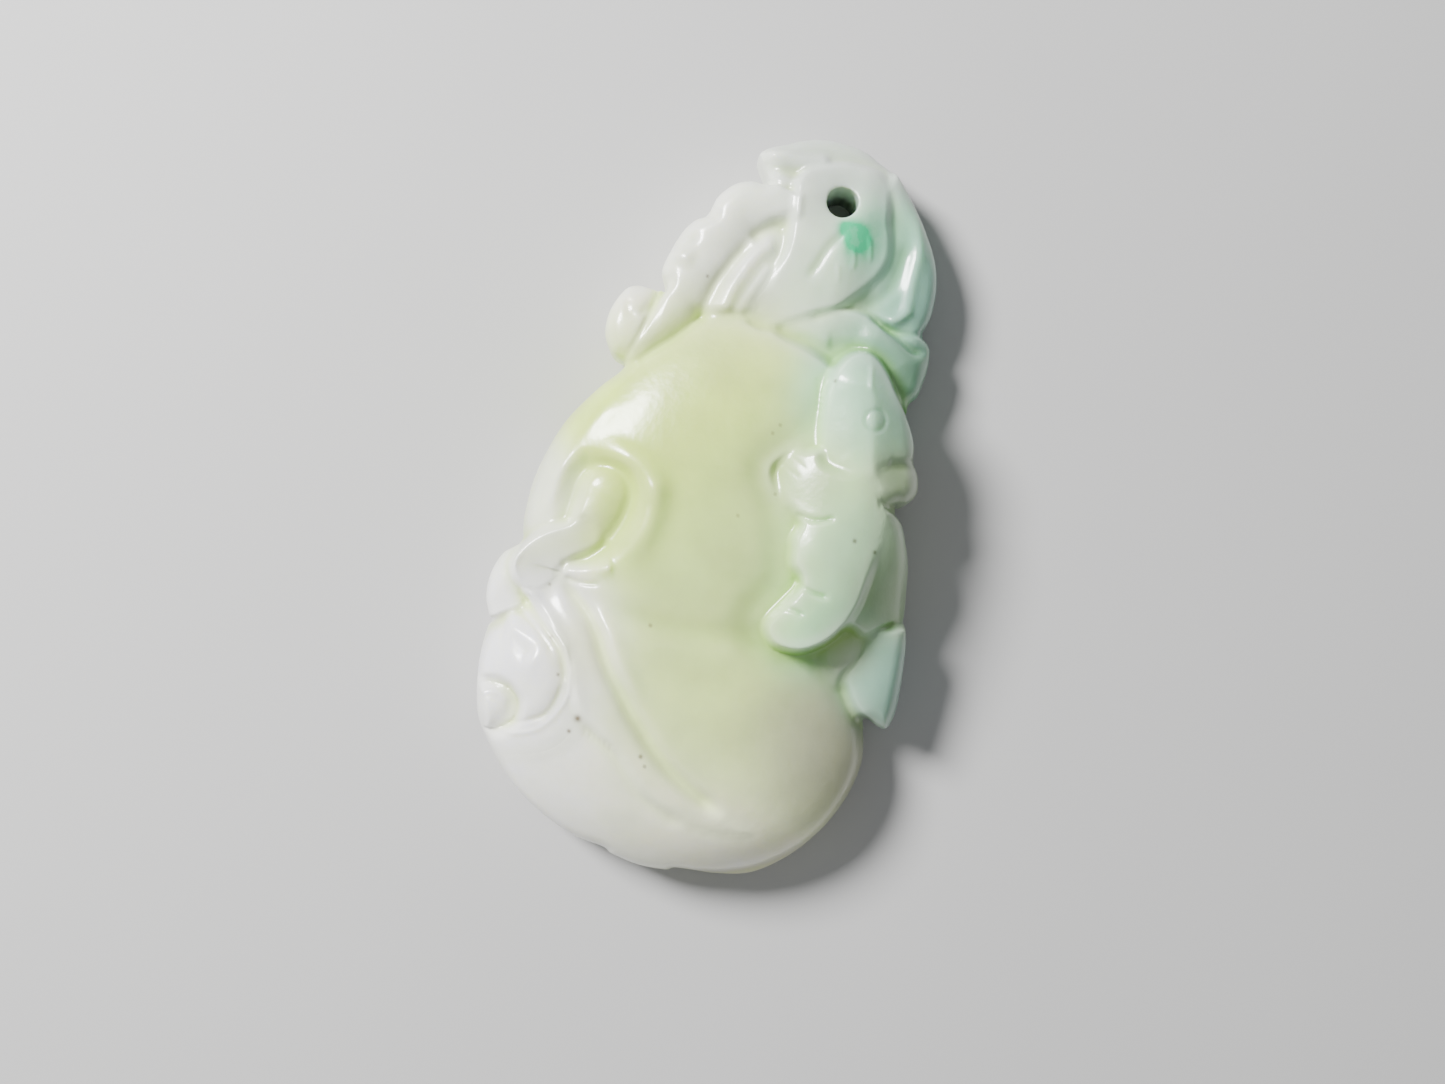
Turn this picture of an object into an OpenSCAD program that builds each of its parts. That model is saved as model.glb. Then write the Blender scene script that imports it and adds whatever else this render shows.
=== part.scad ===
// Carved jade pendant: a two-lobed gourd with a climbing rat, leaves, a vine scroll and a tied ribbon.
// The stone lies on its flat back. +Z is up out of the carved face, +Y runs towards the cord hole's end.
// The real stone is one solid: each module below is one carved motif of it, taken down to the flat back,
// and neighbouring motifs meet face to face on upright walls.

/* [Stone] */
// Length of the stone from the crest leaf to the foot of the gourd
stone_length = 48.3; // [40:0.1:60]
// How far the carving stands up, as a share of the drawn heights
relief = 1; // [0.85:0.05:1.2]

/* [Cord hole] */
// Diameter of the hole drilled through the front leaf
cord_hole_d = 2; // [1.5:0.1:2.4]

/* [Heights above the flat back] */
// Crown of the gourd's upper lobe
gourd_upper_h = 7.2; // [6:0.1:8]
// Crown of the gourd's lower lobe
gourd_lower_h = 7.6; // [6:0.1:8.5]
// Upright side wall of the gourd before it turns over
gourd_wall_h = 2.6; // [1.5:0.1:4]
// Top of the front leaf, which carries the cord hole
front_leaf_h = 5.8; // [5:0.1:7]
// Top of the leaves behind the front leaf
rear_leaf_h = 4.4; // [3:0.1:5]
// Top of the vine scroll
vine_h = 5.4; // [4:0.1:6.5]
// Top of the ribbon where it crosses the gourd
ribbon_h = 7.4; // [6.5:0.1:8.5]
// Top of the rat's back
rat_h = 8.8; // [8:0.1:10]
// Top of the rat's haunch and tail, which hang over the side
rat_side_h = 5.6; // [4:0.1:6.5]
// Top of the thin petal under the gourd's foot
petal_h = 2; // [1.2:0.1:2.4]

/* [Hidden] */

drawn_length = 48.3;              // length of the outlines as they are written below
plan = stone_length / drawn_length;
cord_hole_at = [1.2, 19.65];      // axis of the cord hole
hole_sides = 48;
cut_h = 30;                       // taller than anything, for upright cuts
waist_y = -8.6;                   // the groove between the gourd's two lobes
curve_steps = 3;                  // points drawn between two outline points
dome_rings = 5;                   // rings between a wall's top and the crown
cap_share = 0.12;                 // a dome's flat cap, as a share of its outline

jade_green = "#bfe0c4";
jade_pale = "#dfe8d6";
jade_yellow = "#d3dcae";
jade_white = "#e4e4e0";
jade_lilac = "#e6e0e6";

// Outlines run round a motif through [x, y], or [x, y, 1] where the outline has a sharp corner.
gourd_upper_line = [
    [-8.9, 6.4, 1], [-10.4, 4.4], [-11.6, 2.1], [-12.3, -0.1], [-12.7, -2.2], [-12.8, -4.4],
    [-12.5, -6.4], [-11.6, -8.6], [-9, -10.4], [-5, -11.2], [0, -11.4], [5, -11.2], [9, -9.8],
    [11, -6.5], [11, -3], [10, 0], [9, 3], [8.4, 6], [7.4, 8.4], [5.6, 10.2], [3, 11],
    [0, 11.2], [-3, 11.4], [-5, 11], [-6.2, 9.6], [-7.6, 8]
];
gourd_lower_line = [
    [-12.3, -9], [-12.5, -12.5], [-12.2, -16], [-11.4, -18.2], [-10.4, -19.3], [-8.9, -20.6],
    [-7.1, -22], [-5, -23.1], [-2.6, -23.5], [0.6, -23.6], [3.6, -23.6], [6.4, -23.1],
    [8.2, -22.2], [10, -20.8], [11.4, -19], [12.3, -16.9], [12.7, -15.1], [12.7, -13.3],
    [12.2, -11.9], [11.6, -10.6], [9.6, -8.2], [6, -6.6], [0, -6], [-6, -6.2], [-10, -7]
];
stem_line = [
    [-1.2, 17], [-2.4, 17], [-3.2, 16.5], [-3.8, 15.4], [-4.3, 14.2], [-4.7, 13], [-5, 11.8],
    [-5.4, 10.8], [-4.2, 10], [-2.4, 10], [-1, 10.8], [-0.8, 14]
];
front_leaf_line = [
    [-2.2, 10.8, 1], [-0.7, 11], [1, 12], [2.5, 13], [3.9, 14.5], [4.7, 15.9], [5, 17.2],
    [5, 18.5], [4.7, 19.8], [4.2, 20.8], [3.7, 21.8], [3, 22.3], [1.5, 22.4], [0.2, 22.1],
    [-1.2, 21.4], [-1.9, 20.6], [-1.9, 19.2], [-1.6, 18.2], [-1.4, 17], [-1.7, 15.2],
    [-2, 13.7], [-2.3, 12.2]
];
crest_leaf_line = [
    [-3.6, 19.9, 1], [-4.6, 21], [-4.7, 21.8], [-4.3, 22.5], [-3.4, 23], [-2.7, 23.5],
    [-1.6, 24], [-0.7, 24.2], [0.7, 24.2], [2.1, 24], [3.6, 23.3], [4.2, 22], [3, 20.6],
    [0, 19.6]
];
side_leaf_upper_line = [
    [3.6, 23.3, 1], [5.2, 21.7], [6.4, 20.3], [7.9, 18.3], [8.5, 16.4], [8.7, 14.9],
    [8.6, 13.7, 1], [7, 12.7], [5, 13], [2.4, 12.7], [2.4, 16], [2.7, 20]
];
side_leaf_lower_line = [
    [8.6, 13.7, 1], [9.3, 13], [9.5, 11.7], [9.5, 10.6], [9.1, 9.3], [8.7, 8.8, 1], [7, 8.5],
    [4, 9.5], [1.5, 10.4], [-0.8, 10.9, 1], [1, 12.2], [3.6, 13.6], [6, 13.6]
];
vine_curl_line = [
    [-8.9, 6.4, 1], [-10, 6.7], [-10.9, 7.8], [-11.1, 8.9], [-10.8, 10.6], [-10.2, 11.6],
    [-9.3, 11.6], [-8.2, 11.5, 1], [-7.4, 10.4], [-7, 9], [-7.4, 7.4]
];
ribbon_loop_line = [
    [-9.3, -1.4], [-8.7, -0.6], [-7.8, -0.4], [-6.9, -0.7], [-6.3, -1.5], [-6.1, -2.6],
    [-6.4, -3.8], [-7.1, -4.7], [-8.1, -5.2], [-9.1, -5], [-9.5, -4], [-9.6, -2.6]
];
side_lobe_line = [
    [-12.5, -6.3, 1], [-13.3, -7.6], [-13.6, -9.2], [-13.4, -10.4], [-12.9, -11.5, 1],
    [-11.4, -11.4], [-10.4, -9.6], [-10.8, -7.5], [-11.5, -6.2]
];
ruyi_scroll_line = [
    [-12.9, -11.5, 1], [-13, -12.6], [-12.7, -14.4], [-12.4, -16.2], [-11.6, -17.9],
    [-10.4, -18.9], [-8.6, -18.8], [-6.9, -18], [-5.8, -16.6], [-5.8, -15], [-6.2, -13.2],
    [-7, -11.8], [-8.4, -10.4], [-10.4, -9.8], [-11.8, -10.4]
];
ruyi_bead_line = [
    [-12.4, -16.2], [-12.2, -17.2], [-11.6, -18], [-10.6, -18.3], [-9.7, -17.7], [-9.4, -16.6],
    [-9.8, -15.5], [-10.8, -15], [-11.9, -15.3]
];
rat_head_line = [
    [5, 10.9], [6, 10.7], [6.7, 10.2], [7.3, 9.4], [7.9, 8.5], [8.4, 7.4], [8.4, 6.2],
    [7.8, 4.9], [7.2, 3.9], [6, 3], [4.6, 3.4], [4, 4.6], [3.9, 5.8], [3.7, 6.8], [3.5, 7.8],
    [3.5, 8.8], [3.7, 9.8], [4.2, 10.5]
];
rat_forepaw_line = [
    [3.9, 4.4], [2.9, 4], [2.3, 3.6], [1.9, 3], [1.8, 2.5], [2.1, 1.8], [2.7, 1], [3.3, 0.4],
    [4.2, 0.1], [5.4, 0.4], [5.8, 2], [5.4, 3.8], [4.6, 4.6]
];
rat_far_paw_line = [
    [8.6, 8.7], [9.3, 7.7], [9.8, 6.4], [10, 5.5], [10.4, 4.6], [10.6, 3.5], [10.2, 2.8],
    [9.5, 2.4, 1], [8.2, 2.4], [7.2, 4], [7, 6], [7.4, 8]
];
rat_haunch_line = [
    [9.5, 2.4, 1], [10.4, 1.4], [11.3, -0.2], [12, -2.6], [12.5, -4.4, 1], [11, -5],
    [10, -5.4], [9, -5.4], [8.4, -4], [8.2, -1], [8, 2.8]
];
rat_tail_line = [
    [12.5, -4.4, 1], [12.8, -5.4], [13.3, -7.4], [13.6, -9.2], [13.6, -10.4], [13.3, -11.1],
    [12.4, -11], [11.8, -10.7, 1], [10.9, -10], [9.9, -9], [9.6, -8.3], [10, -7.2],
    [10.2, -6.2], [10.3, -5.4]
];
back_petal_line = [
    [-1.8, -23.4, 1], [-1.2, -23.9], [0.7, -24.1], [2.4, -23.9], [3.1, -23.5, 1], [2.4, -22],
    [0.6, -21.4], [-1.2, -22]
];

// Bands run along [x, y, half width].
vine_path = [
    [-1.9, 18.3, 1], [-3.6, 18, 1.4], [-5.1, 16.9, 1.8], [-5.9, 15.2, 1.9], [-6.5, 13.3, 1.9],
    [-7, 11.4, 1.7], [-7.7, 9.6, 1.3], [-8.5, 8, 0.9]
];
rat_back_path = [
    [5.8, 4.6, 1.5], [6.1, 3, 2.2], [6.4, 1, 2.5], [6.6, -1, 2.5], [6.8, -2.8, 2.3], [7, -4.1, 1.7]
];
rat_leg_path = [
    [7, -3.6, 1.9], [6.8, -4.8, 2.1], [6.3, -6, 2.1], [5.8, -6.9, 1.7], [5.4, -7.6, 0.9]
];
ribbon_bend_path = [
    [-8, -4.6, 0.8], [-9.4, -5.2, 0.9], [-10.5, -6, 1], [-11, -7, 1], [-10.9, -8, 1.1],
    [-10.2, -8.9, 1.2], [-9.3, -9.6, 1.2]
];
ribbon_tail_path = [
    [-9.6, -9.1, 1.2], [-8, -10.3, 1.3], [-6.4, -11.8, 1.3], [-5.1, -13.4, 1.2],
    [-3.6, -15, 1.1], [-1.9, -16.5, 1], [0, -17.8, 0.9], [2, -18.6, 0.8], [4, -19.1, 0.6],
    [5.8, -19.3, 0.3]
];

// ---- curves ----

function plan_point(p) = [p[0] * plan, p[1] * plan];

function slope(points, i) =
    let (n = len(points))
    len(points[i]) > 2 ? [0, 0]
    : (plan_point(points[(i + 1) % n]) - plan_point(points[(i + n - 1) % n])) / 2;

function hermite(p, m, q, n, t) =
    p * (2 * pow(t, 3) - 3 * pow(t, 2) + 1) + m * (pow(t, 3) - 2 * pow(t, 2) + t)
    + q * (3 * pow(t, 2) - 2 * pow(t, 3)) + n * (pow(t, 3) - pow(t, 2));

// A closed smooth line through an outline's points.
function closed_curve(points) = [
    for (i = [0:len(points) - 1], s = [0:curve_steps - 1])
        let (j = (i + 1) % len(points))
        hermite(plan_point(points[i]), slope(points, i), plan_point(points[j]),
            slope(points, j), s / curve_steps)
];

// A band's direction at one of its points.
function heading(path, i) =
    let (
        a = path[max(i - 1, 0)],
        b = path[min(i + 1, len(path) - 1)],
        d = [b[0] - a[0], b[1] - a[1]]
    )
    d / norm(d);

// A smooth line along a band, as [x, y, half width].
function band_spine(path) = [
    for (i = [0:len(path) - 2], s = [0:curve_steps - 1])
        let (
            t = s / curve_steps,
            a = path[max(i - 1, 0)],
            b = path[i],
            c = path[i + 1],
            d = path[min(i + 2, len(path) - 1)]
        )
        hermite(b, (c - a) / 2, c, (d - b) / 2, t) * plan,
    path[len(path) - 1] * plan
];

// One side of a band: side is 1 on the left of its direction and -1 on the right.
function band_side(spine, side) = [
    for (i = [0:len(spine) - 1])
        let (h = heading(spine, i))
        [spine[i][0] - side * h[1] * spine[i][2], spine[i][1] + side * h[0] * spine[i][2]]
];

function reversed(points) = [for (i = [len(points) - 1:-1:0]) points[i]];

function band_outline(path) =
    let (spine = band_spine(path))
    concat(band_side(spine, -1), reversed(band_side(spine, 1)));

function signed_area(points) = [
    for (i = 0, a = 0; i <= len(points);
        a = a + (i < len(points) ? cross(points[i], points[(i + 1) % len(points)]) : 0) / 2,
        i = i + 1)
        a
][len(points)];

function anticlockwise(points) = signed_area(points) < 0 ? reversed(points) : points;

// ---- solids ----

// Rings of points stacked up into a closed solid. Every ring has the same number of points.
module stack_rings(rings) {
    n = len(rings[0]);
    last = len(rings) - 1;
    points = [for (ring = rings) each ring];
    walls = [
        for (k = [0:last - 1], i = [0:n - 1])
            let (j = (i + 1) % n, low = k * n, high = (k + 1) * n)
            each [[low + j, low + i, high + i], [low + j, high + i, high + j]]
    ];
    base = [[for (i = [0:n - 1]) i]];
    crown = [[for (i = [n - 1:-1:0]) last * n + i]];
    polyhedron(points, concat(base, walls, crown));
}

// A motif with an upright wall and a domed top that closes in on its centre.
module pillow(outline, centre, wall_h, top_h) {
    middle = centre * plan;
    line = anticlockwise(outline);
    shares = [for (k = [0:dome_rings]) cos(90 * k / dome_rings) * (1 - cap_share) + cap_share];
    rises = [for (k = [0:dome_rings]) sin(90 * k / dome_rings)];
    stack_rings(concat(
        [[for (p = line) [p[0], p[1], 0]]],
        [
            for (k = [0:dome_rings]) [
                for (p = line)
                    let (q = middle + (p - middle) * shares[k])
                    [q[0], q[1], (wall_h + (top_h - wall_h) * rises[k]) * relief]
            ]
        ]
    ));
}

// A long motif with an upright wall and a rounded top that closes in on its spine.
module band(path, wall_h, top_h) {
    spine = band_spine(path);
    stations = len(spine);
    ring_sides = 8;
    points = [
        for (i = [0:stations - 1])
            let (h = heading(spine, i), across = [-h[1], h[0]], w = spine[i][2])
            each [
                for (k = [0:ring_sides - 1])
                    let (
                        turn = 180 * (k - 1) / (ring_sides - 3),
                        low = k == 0 || k == ring_sides - 1,
                        off = k == 0 ? w : k == ring_sides - 1 ? -w : w * cos(turn),
                        up = low ? 0 : wall_h + (top_h - wall_h) * sin(turn)
                    )
                    [spine[i][0] + across[0] * off, spine[i][1] + across[1] * off, up * relief]
            ]
    ];
    walls = [
        for (i = [0:stations - 2], k = [0:ring_sides - 1])
            let (a = i * ring_sides, b = a + ring_sides, j = (k + 1) % ring_sides)
            each [[a + k, b + k, a + j], [a + j, b + k, b + j]]
    ];
    start = [[for (k = [0:ring_sides - 1]) k]];
    end = [[for (k = [ring_sides - 1:-1:0]) (stations - 1) * ring_sides + k]];
    polyhedron(points, concat(start, walls, end));
}

// The child with every outline in the list cut away from it, from the flat back up.
module outside(outlines, height = cut_h) {
    difference() {
        children();
        for (line = outlines)
            translate([0, 0, -1]) linear_extrude(height + 1) polygon(line);
    }
}

// ---- which motif lies over which: a motif is cut by those named before it ----

rat_head_plan = closed_curve(rat_head_line);
rat_forepaw_plan = closed_curve(rat_forepaw_line);
rat_trunk_plan = band_outline(rat_back_path);
rat_hind_leg_plan = band_outline(rat_leg_path);
rat_far_paw_plan = closed_curve(rat_far_paw_line);
rat_haunch_plan = closed_curve(rat_haunch_line);
rat_tail_plan = closed_curve(rat_tail_line);
front_leaf_plan = closed_curve(front_leaf_line);
crest_leaf_plan = closed_curve(crest_leaf_line);
side_leaf_upper_plan = closed_curve(side_leaf_upper_line);
side_leaf_lower_plan = closed_curve(side_leaf_lower_line);
vine_scroll_plan = band_outline(vine_path);
vine_curl_plan = closed_curve(vine_curl_line);
stem_plan = closed_curve(stem_line);
ribbon_loop_plan = closed_curve(ribbon_loop_line);
ribbon_bend_plan = band_outline(ribbon_bend_path);
ribbon_tail_plan = band_outline(ribbon_tail_path);
side_lobe_plan = closed_curve(side_lobe_line);
ruyi_bead_plan = closed_curve(ruyi_bead_line);
ruyi_scroll_plan = closed_curve(ruyi_scroll_line);
back_petal_plan = closed_curve(back_petal_line);
gourd_upper_plan = closed_curve(gourd_upper_line);
gourd_lower_plan = closed_curve(gourd_lower_line);

rat_plans = [
    rat_head_plan, rat_trunk_plan, rat_forepaw_plan, rat_hind_leg_plan, rat_far_paw_plan,
    rat_haunch_plan, rat_tail_plan
];
leaf_plans = [front_leaf_plan, crest_leaf_plan, side_leaf_upper_plan, side_leaf_lower_plan];
vine_plans = [vine_scroll_plan, vine_curl_plan, stem_plan];
ribbon_plans = [ribbon_loop_plan, ribbon_bend_plan, ribbon_tail_plan];
ruyi_plans = [ruyi_bead_plan, ruyi_scroll_plan, side_lobe_plan];

function first(list, count) = [for (i = [0:count - 1]) list[i]];

// ---- the rat ----

module rat_head() {
    color(jade_green)
        pillow(rat_head_plan, [6, 7], 5.4, rat_h - 0.6);
}

module rat_trunk() {
    color(jade_green) outside([rat_head_plan])
        band(rat_back_path, 5.6, rat_h);
}

module rat_forepaw() {
    color(jade_green) outside([rat_head_plan, rat_trunk_plan])
        pillow(rat_forepaw_plan, [3.3, 2.3], 5.8, rat_h - 1);
}

module rat_hind_leg() {
    color(jade_green) outside([rat_trunk_plan])
        band(rat_leg_path, 5.6, rat_h - 0.6);
}

module rat_far_paw() {
    color(jade_green) outside([rat_head_plan, rat_trunk_plan])
        pillow(rat_far_paw_plan, [8.6, 5.2], 3, rat_side_h);
}

module rat_haunch() {
    color(jade_green) outside([rat_trunk_plan, rat_hind_leg_plan, rat_far_paw_plan])
        pillow(rat_haunch_plan, [9.8, -1.6], 3, rat_side_h + 0.4);
}

module rat_tail() {
    color(jade_green) outside([rat_haunch_plan])
        pillow(rat_tail_plan, [11.6, -8], 3, rat_side_h - 0.4);
}

// ---- the leaves and the vine ----

module front_leaf() {
    color(jade_pale) difference() {
        outside(rat_plans)
            pillow(front_leaf_plan, [1.2, 17.5], 4.6, front_leaf_h);
        translate([cord_hole_at[0] * plan, cord_hole_at[1] * plan, -1])
            cylinder(h = cut_h, d = cord_hole_d, $fn = hole_sides);
    }
}

module crest_leaf() {
    color(jade_lilac) outside([front_leaf_plan])
        pillow(crest_leaf_plan, [-1, 22], 2.6, rear_leaf_h);
}

module side_leaf_upper() {
    color(jade_green) outside([front_leaf_plan, crest_leaf_plan])
        pillow(side_leaf_upper_plan, [5, 17], 2.6, rear_leaf_h);
}

module side_leaf_lower() {
    color(jade_green) outside(concat(rat_plans, first(leaf_plans, 3)))
        pillow(side_leaf_lower_plan, [6, 11.4], 2.6, rear_leaf_h + 0.4);
}

module vine_scroll() {
    color(jade_lilac) outside([front_leaf_plan, crest_leaf_plan])
        band(vine_path, 3, vine_h);
}

module vine_curl() {
    color(jade_pale) outside([vine_scroll_plan])
        pillow(vine_curl_plan, [-9.3, 9.2], 2.6, vine_h - 0.4);
}

module stem() {
    color(jade_pale) outside(concat(leaf_plans, first(vine_plans, 2)))
        pillow(stem_plan, [-2.8, 13.4], 2.6, 4.6);
}

// ---- the ribbon and the ruyi scroll ----

module ribbon_loop() {
    color(jade_yellow)
        pillow(ribbon_loop_plan, [-7.8, -2.8], 4.4, ribbon_h - 0.8);
}

module ribbon_bend() {
    color(jade_white) outside([ribbon_loop_plan])
        band(ribbon_bend_path, 4.4, ribbon_h - 0.8);
}

module ribbon_tail() {
    color(jade_yellow) outside(first(ribbon_plans, 2))
        band(ribbon_tail_path, 5.6, ribbon_h);
}

module side_lobe() {
    color(jade_white) outside(concat(ribbon_plans, first(ruyi_plans, 2)))
        pillow(side_lobe_plan, [-12, -8.8], 2.2, 4.2);
}

module ruyi_bead() {
    color(jade_white)
        pillow(ruyi_bead_plan, [-10.9, -16.7], 2.6, 5.2);
}

module ruyi_scroll() {
    color(jade_white) outside(concat(ribbon_plans, first(ruyi_plans, 1)))
        pillow(ruyi_scroll_plan, [-9.4, -14.2], 2.6, 6.2);
}

// ---- the gourd ----

// Everything on one side of the waist, where the two lobes meet: side is 1 above it and -1 below.
module past_waist(side) {
    reach = 100;
    y = waist_y * plan + (side > 0 ? 0 : -reach);
    translate([-reach / 2, y, -1]) cube([reach, reach, cut_h]);
}

module gourd_upper() {
    color(jade_yellow) outside(concat(rat_plans, leaf_plans, vine_plans, ribbon_plans, ruyi_plans))
        intersection() {
            pillow(gourd_upper_plan, [-0.6, -0.4], gourd_wall_h, gourd_upper_h);
            past_waist(1);
        }
}

module gourd_lower() {
    color(jade_yellow) outside([back_petal_plan], petal_h * relief)
        outside(concat(rat_plans, ribbon_plans, ruyi_plans))
            intersection() {
                pillow(gourd_lower_plan, [0.4, -15], gourd_wall_h, gourd_lower_h);
                past_waist(-1);
            }
}

module back_petal() {
    color(jade_lilac)
        linear_extrude(petal_h * relief) polygon(back_petal_plan);
}

gourd_upper();
gourd_lower();
stem();
front_leaf();
crest_leaf();
side_leaf_upper();
side_leaf_lower();
vine_scroll();
vine_curl();
ribbon_loop();
ribbon_bend();
ribbon_tail();
side_lobe();
ruyi_scroll();
ruyi_bead();
rat_head();
rat_forepaw();
rat_trunk();
rat_hind_leg();
rat_far_paw();
rat_haunch();
rat_tail();
back_petal();
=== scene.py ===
import math

import bpy
import numpy as np
import openvdb
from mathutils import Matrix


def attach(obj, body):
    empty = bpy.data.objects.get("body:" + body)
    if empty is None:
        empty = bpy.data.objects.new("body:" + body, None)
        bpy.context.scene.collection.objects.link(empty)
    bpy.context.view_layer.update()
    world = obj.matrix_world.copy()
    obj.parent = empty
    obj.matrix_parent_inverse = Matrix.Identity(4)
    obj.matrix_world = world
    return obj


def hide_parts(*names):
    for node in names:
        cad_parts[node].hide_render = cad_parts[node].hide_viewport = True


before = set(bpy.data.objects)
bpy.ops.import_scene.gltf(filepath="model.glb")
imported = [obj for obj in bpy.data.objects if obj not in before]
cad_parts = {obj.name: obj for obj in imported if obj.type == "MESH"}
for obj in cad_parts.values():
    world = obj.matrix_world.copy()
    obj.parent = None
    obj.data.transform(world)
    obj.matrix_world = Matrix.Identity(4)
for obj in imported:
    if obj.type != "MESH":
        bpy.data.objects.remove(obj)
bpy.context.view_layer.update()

MM = 0.001
STEP = 0.1      # grid spacing of the carving, in mm
CORD_HOLE = (1.2, 19.65)               # axis of the cord hole, in mm
CORD_HOLE_R = 1.0
CAMERA_AT = (0.06, -2.59, 92)          # straight above the stone, in mm
CAMERA_TURN = 16.5                     # the stone leans to the right in view, in degrees
RAT_TOP = 8.35                         # the animal's back is the highest place, in mm


# ---- curves and fields on a flat grid; all lengths are in mm ----

def curve(points, closed=True, steps=8):
    """A smooth line through the points."""
    p = np.array(points, float)
    n = len(p)
    last = n if closed else n - 1
    t = np.linspace(0, 1, steps, endpoint=False)[:, None]
    out = []
    for i in range(last):
        if closed:
            a, b, c, d = p[i - 1], p[i], p[(i + 1) % n], p[(i + 2) % n]
        else:
            a, b, c, d = p[max(i - 1, 0)], p[i], p[i + 1], p[min(i + 2, n - 1)]
        m, k = (c - a) / 2, (d - b) / 2
        out.append(b * (2 * t**3 - 3 * t**2 + 1) + m * (t**3 - 2 * t**2 + t)
                   + c * (3 * t**2 - 2 * t**3) + k * (t**3 - t**2))
    if not closed:
        out.append(p[-1:])
    return np.concatenate(out)


def fade(a, b, v):
    """0 below a, 1 above b, smooth between."""
    t = np.clip((v - a) / (b - a), 0, 1)
    return t * t * (3 - 2 * t)


def bell(d, width):
    """1 at 0, falling away over the width."""
    return np.exp(-((d / width) ** 2))


def soft_max(a, b, r):
    """The larger of two values, blended where they differ by less than r."""
    h = np.clip(r - np.abs(a - b), 0, None) / r
    return np.maximum(a, b) + h * h * r / 4


def round_both(a, b, r):
    """The inside of both a and b, with their shared edge rounded to radius r."""
    u, v = np.maximum(a + r, 0), np.maximum(b + r, 0)
    return np.minimum(np.maximum(a, b), -r) + np.hypot(u, v)


class Patch:
    """A window of the one grid that the whole stone is carved on."""

    def __init__(self, x0, x1, y0, y1):
        i0, i1 = max(round(x0 / STEP), GRID_X[0]), min(round(x1 / STEP), GRID_X[1])
        j0, j1 = max(round(y0 / STEP), GRID_Y[0]), min(round(y1 / STEP), GRID_Y[1])
        self.x, self.y = np.arange(i0, i1 + 1) * STEP, np.arange(j0, j1 + 1) * STEP
        self.X, self.Y = np.meshgrid(self.x, self.y, indexing="ij")
        self.here = np.s_[i0 - GRID_X[0]:i1 + 1 - GRID_X[0], j0 - GRID_Y[0]:j1 + 1 - GRID_Y[0]]

    @classmethod
    def around(cls, points, margin):
        p = np.array(points)
        return cls(*(v for k in (0, 1) for v in (p[:, k].min() - margin, p[:, k].max() + margin)))

    def edge(self, points):
        """Distance to a closed curve, negative inside it."""
        line = curve(points)
        near = np.full(self.X.shape, 1e9)
        inside = np.zeros(self.X.shape, bool)
        for (ax, ay), (bx, by) in zip(line, np.roll(line, -1, 0)):
            ux, uy = bx - ax, by - ay
            px, py = self.X - ax, self.Y - ay
            t = np.clip((px * ux + py * uy) / (ux * ux + uy * uy + 1e-12), 0, 1)
            near = np.minimum(near, (px - t * ux) ** 2 + (py - t * uy) ** 2)
            if ay != by:
                crosses = (ay > self.Y) != (by > self.Y)
                inside ^= crosses & (self.X < ux * (self.Y - ay) / uy + ax)
        return np.where(inside, -1, 1) * np.sqrt(near)

    def along(self, points):
        """Distance to an open curve, the share of its length reached, and the side: left is positive."""
        line = curve(points, closed=False)
        seg = np.diff(line, axis=0)
        size = np.hypot(*seg.T)
        start = np.concatenate([[0], np.cumsum(size)])[:-1]
        near = np.full(self.X.shape, 1e9)
        share = np.zeros(self.X.shape)
        side = np.ones(self.X.shape)
        for (ax, ay), (ux, uy), s0, s in zip(line[:-1], seg, start, size):
            px, py = self.X - ax, self.Y - ay
            t = np.clip((px * ux + py * uy) / (s * s + 1e-12), 0, 1)
            qx, qy = px - t * ux, py - t * uy
            q = qx * qx + qy * qy
            closer = q < near
            near = np.where(closer, q, near)
            share = np.where(closer, s0 + t * s, share)
            side = np.where(closer, np.sign(ux * py - uy * px + 1e-9), side)
        return np.sqrt(near), share / size.sum(), side

    def bump(self, x, y, height, rx, ry=None, turn=0.0):
        """A round or oval rise."""
        c, s = math.cos(math.radians(turn)), math.sin(math.radians(turn))
        u, v = (self.X - x) * c + (self.Y - y) * s, (self.Y - y) * c - (self.X - x) * s
        return height * np.exp(-((u / rx) ** 2) - (v / (ry or rx)) ** 2)

    def dome(self, points, x, y, wall, top, power=2.0):
        """A height that falls from top at (x, y) to wall on the closed curve."""
        line = curve(points)
        turn = np.arctan2(line[:, 1] - y, line[:, 0] - x)
        far = np.hypot(line[:, 1] - y, line[:, 0] - x)
        order = np.argsort(turn)
        turn, far = turn[order], far[order]
        turn = np.concatenate([turn - 2 * np.pi, turn, turn + 2 * np.pi])
        reach = np.interp(np.arctan2(self.Y - y, self.X - x), turn, np.tile(far, 3))
        s = np.clip(np.hypot(self.X - x, self.Y - y) / reach, 0, 1)
        return wall + (top - wall) * np.sqrt(1 - s**power)


GRID_X = (round(-14.3 / STEP), round(14.4 / STEP))
GRID_Y = (round(-24.9 / STEP), round(25.0 / STEP))
whole = Patch(-15, 15, -25, 25)
TOP = np.zeros(whole.X.shape)          # the height of the carved face everywhere, in mm


def lay(outline, height, blend=0.35, margin=1.5):
    """Carves the face to a height inside an outline, with a soft step at its edge."""
    p = Patch.around(outline, margin)
    side = p.edge(outline)
    w = fade(blend, -blend, side)
    h = height(p) if callable(height) else height
    TOP[p.here] = TOP[p.here] * (1 - w) + h * w
    return outline


def line(points, height, width, ends=0.15):
    """A ridge along an open curve, or a groove where height is negative, fading out at its ends."""
    p = Patch.around(points, 3 * width)
    d, t, _ = p.along(points)
    rise = height * bell(d, width) * fade(0, ends, t) * fade(0, ends, 1 - t)
    TOP[p.here] += rise


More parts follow.
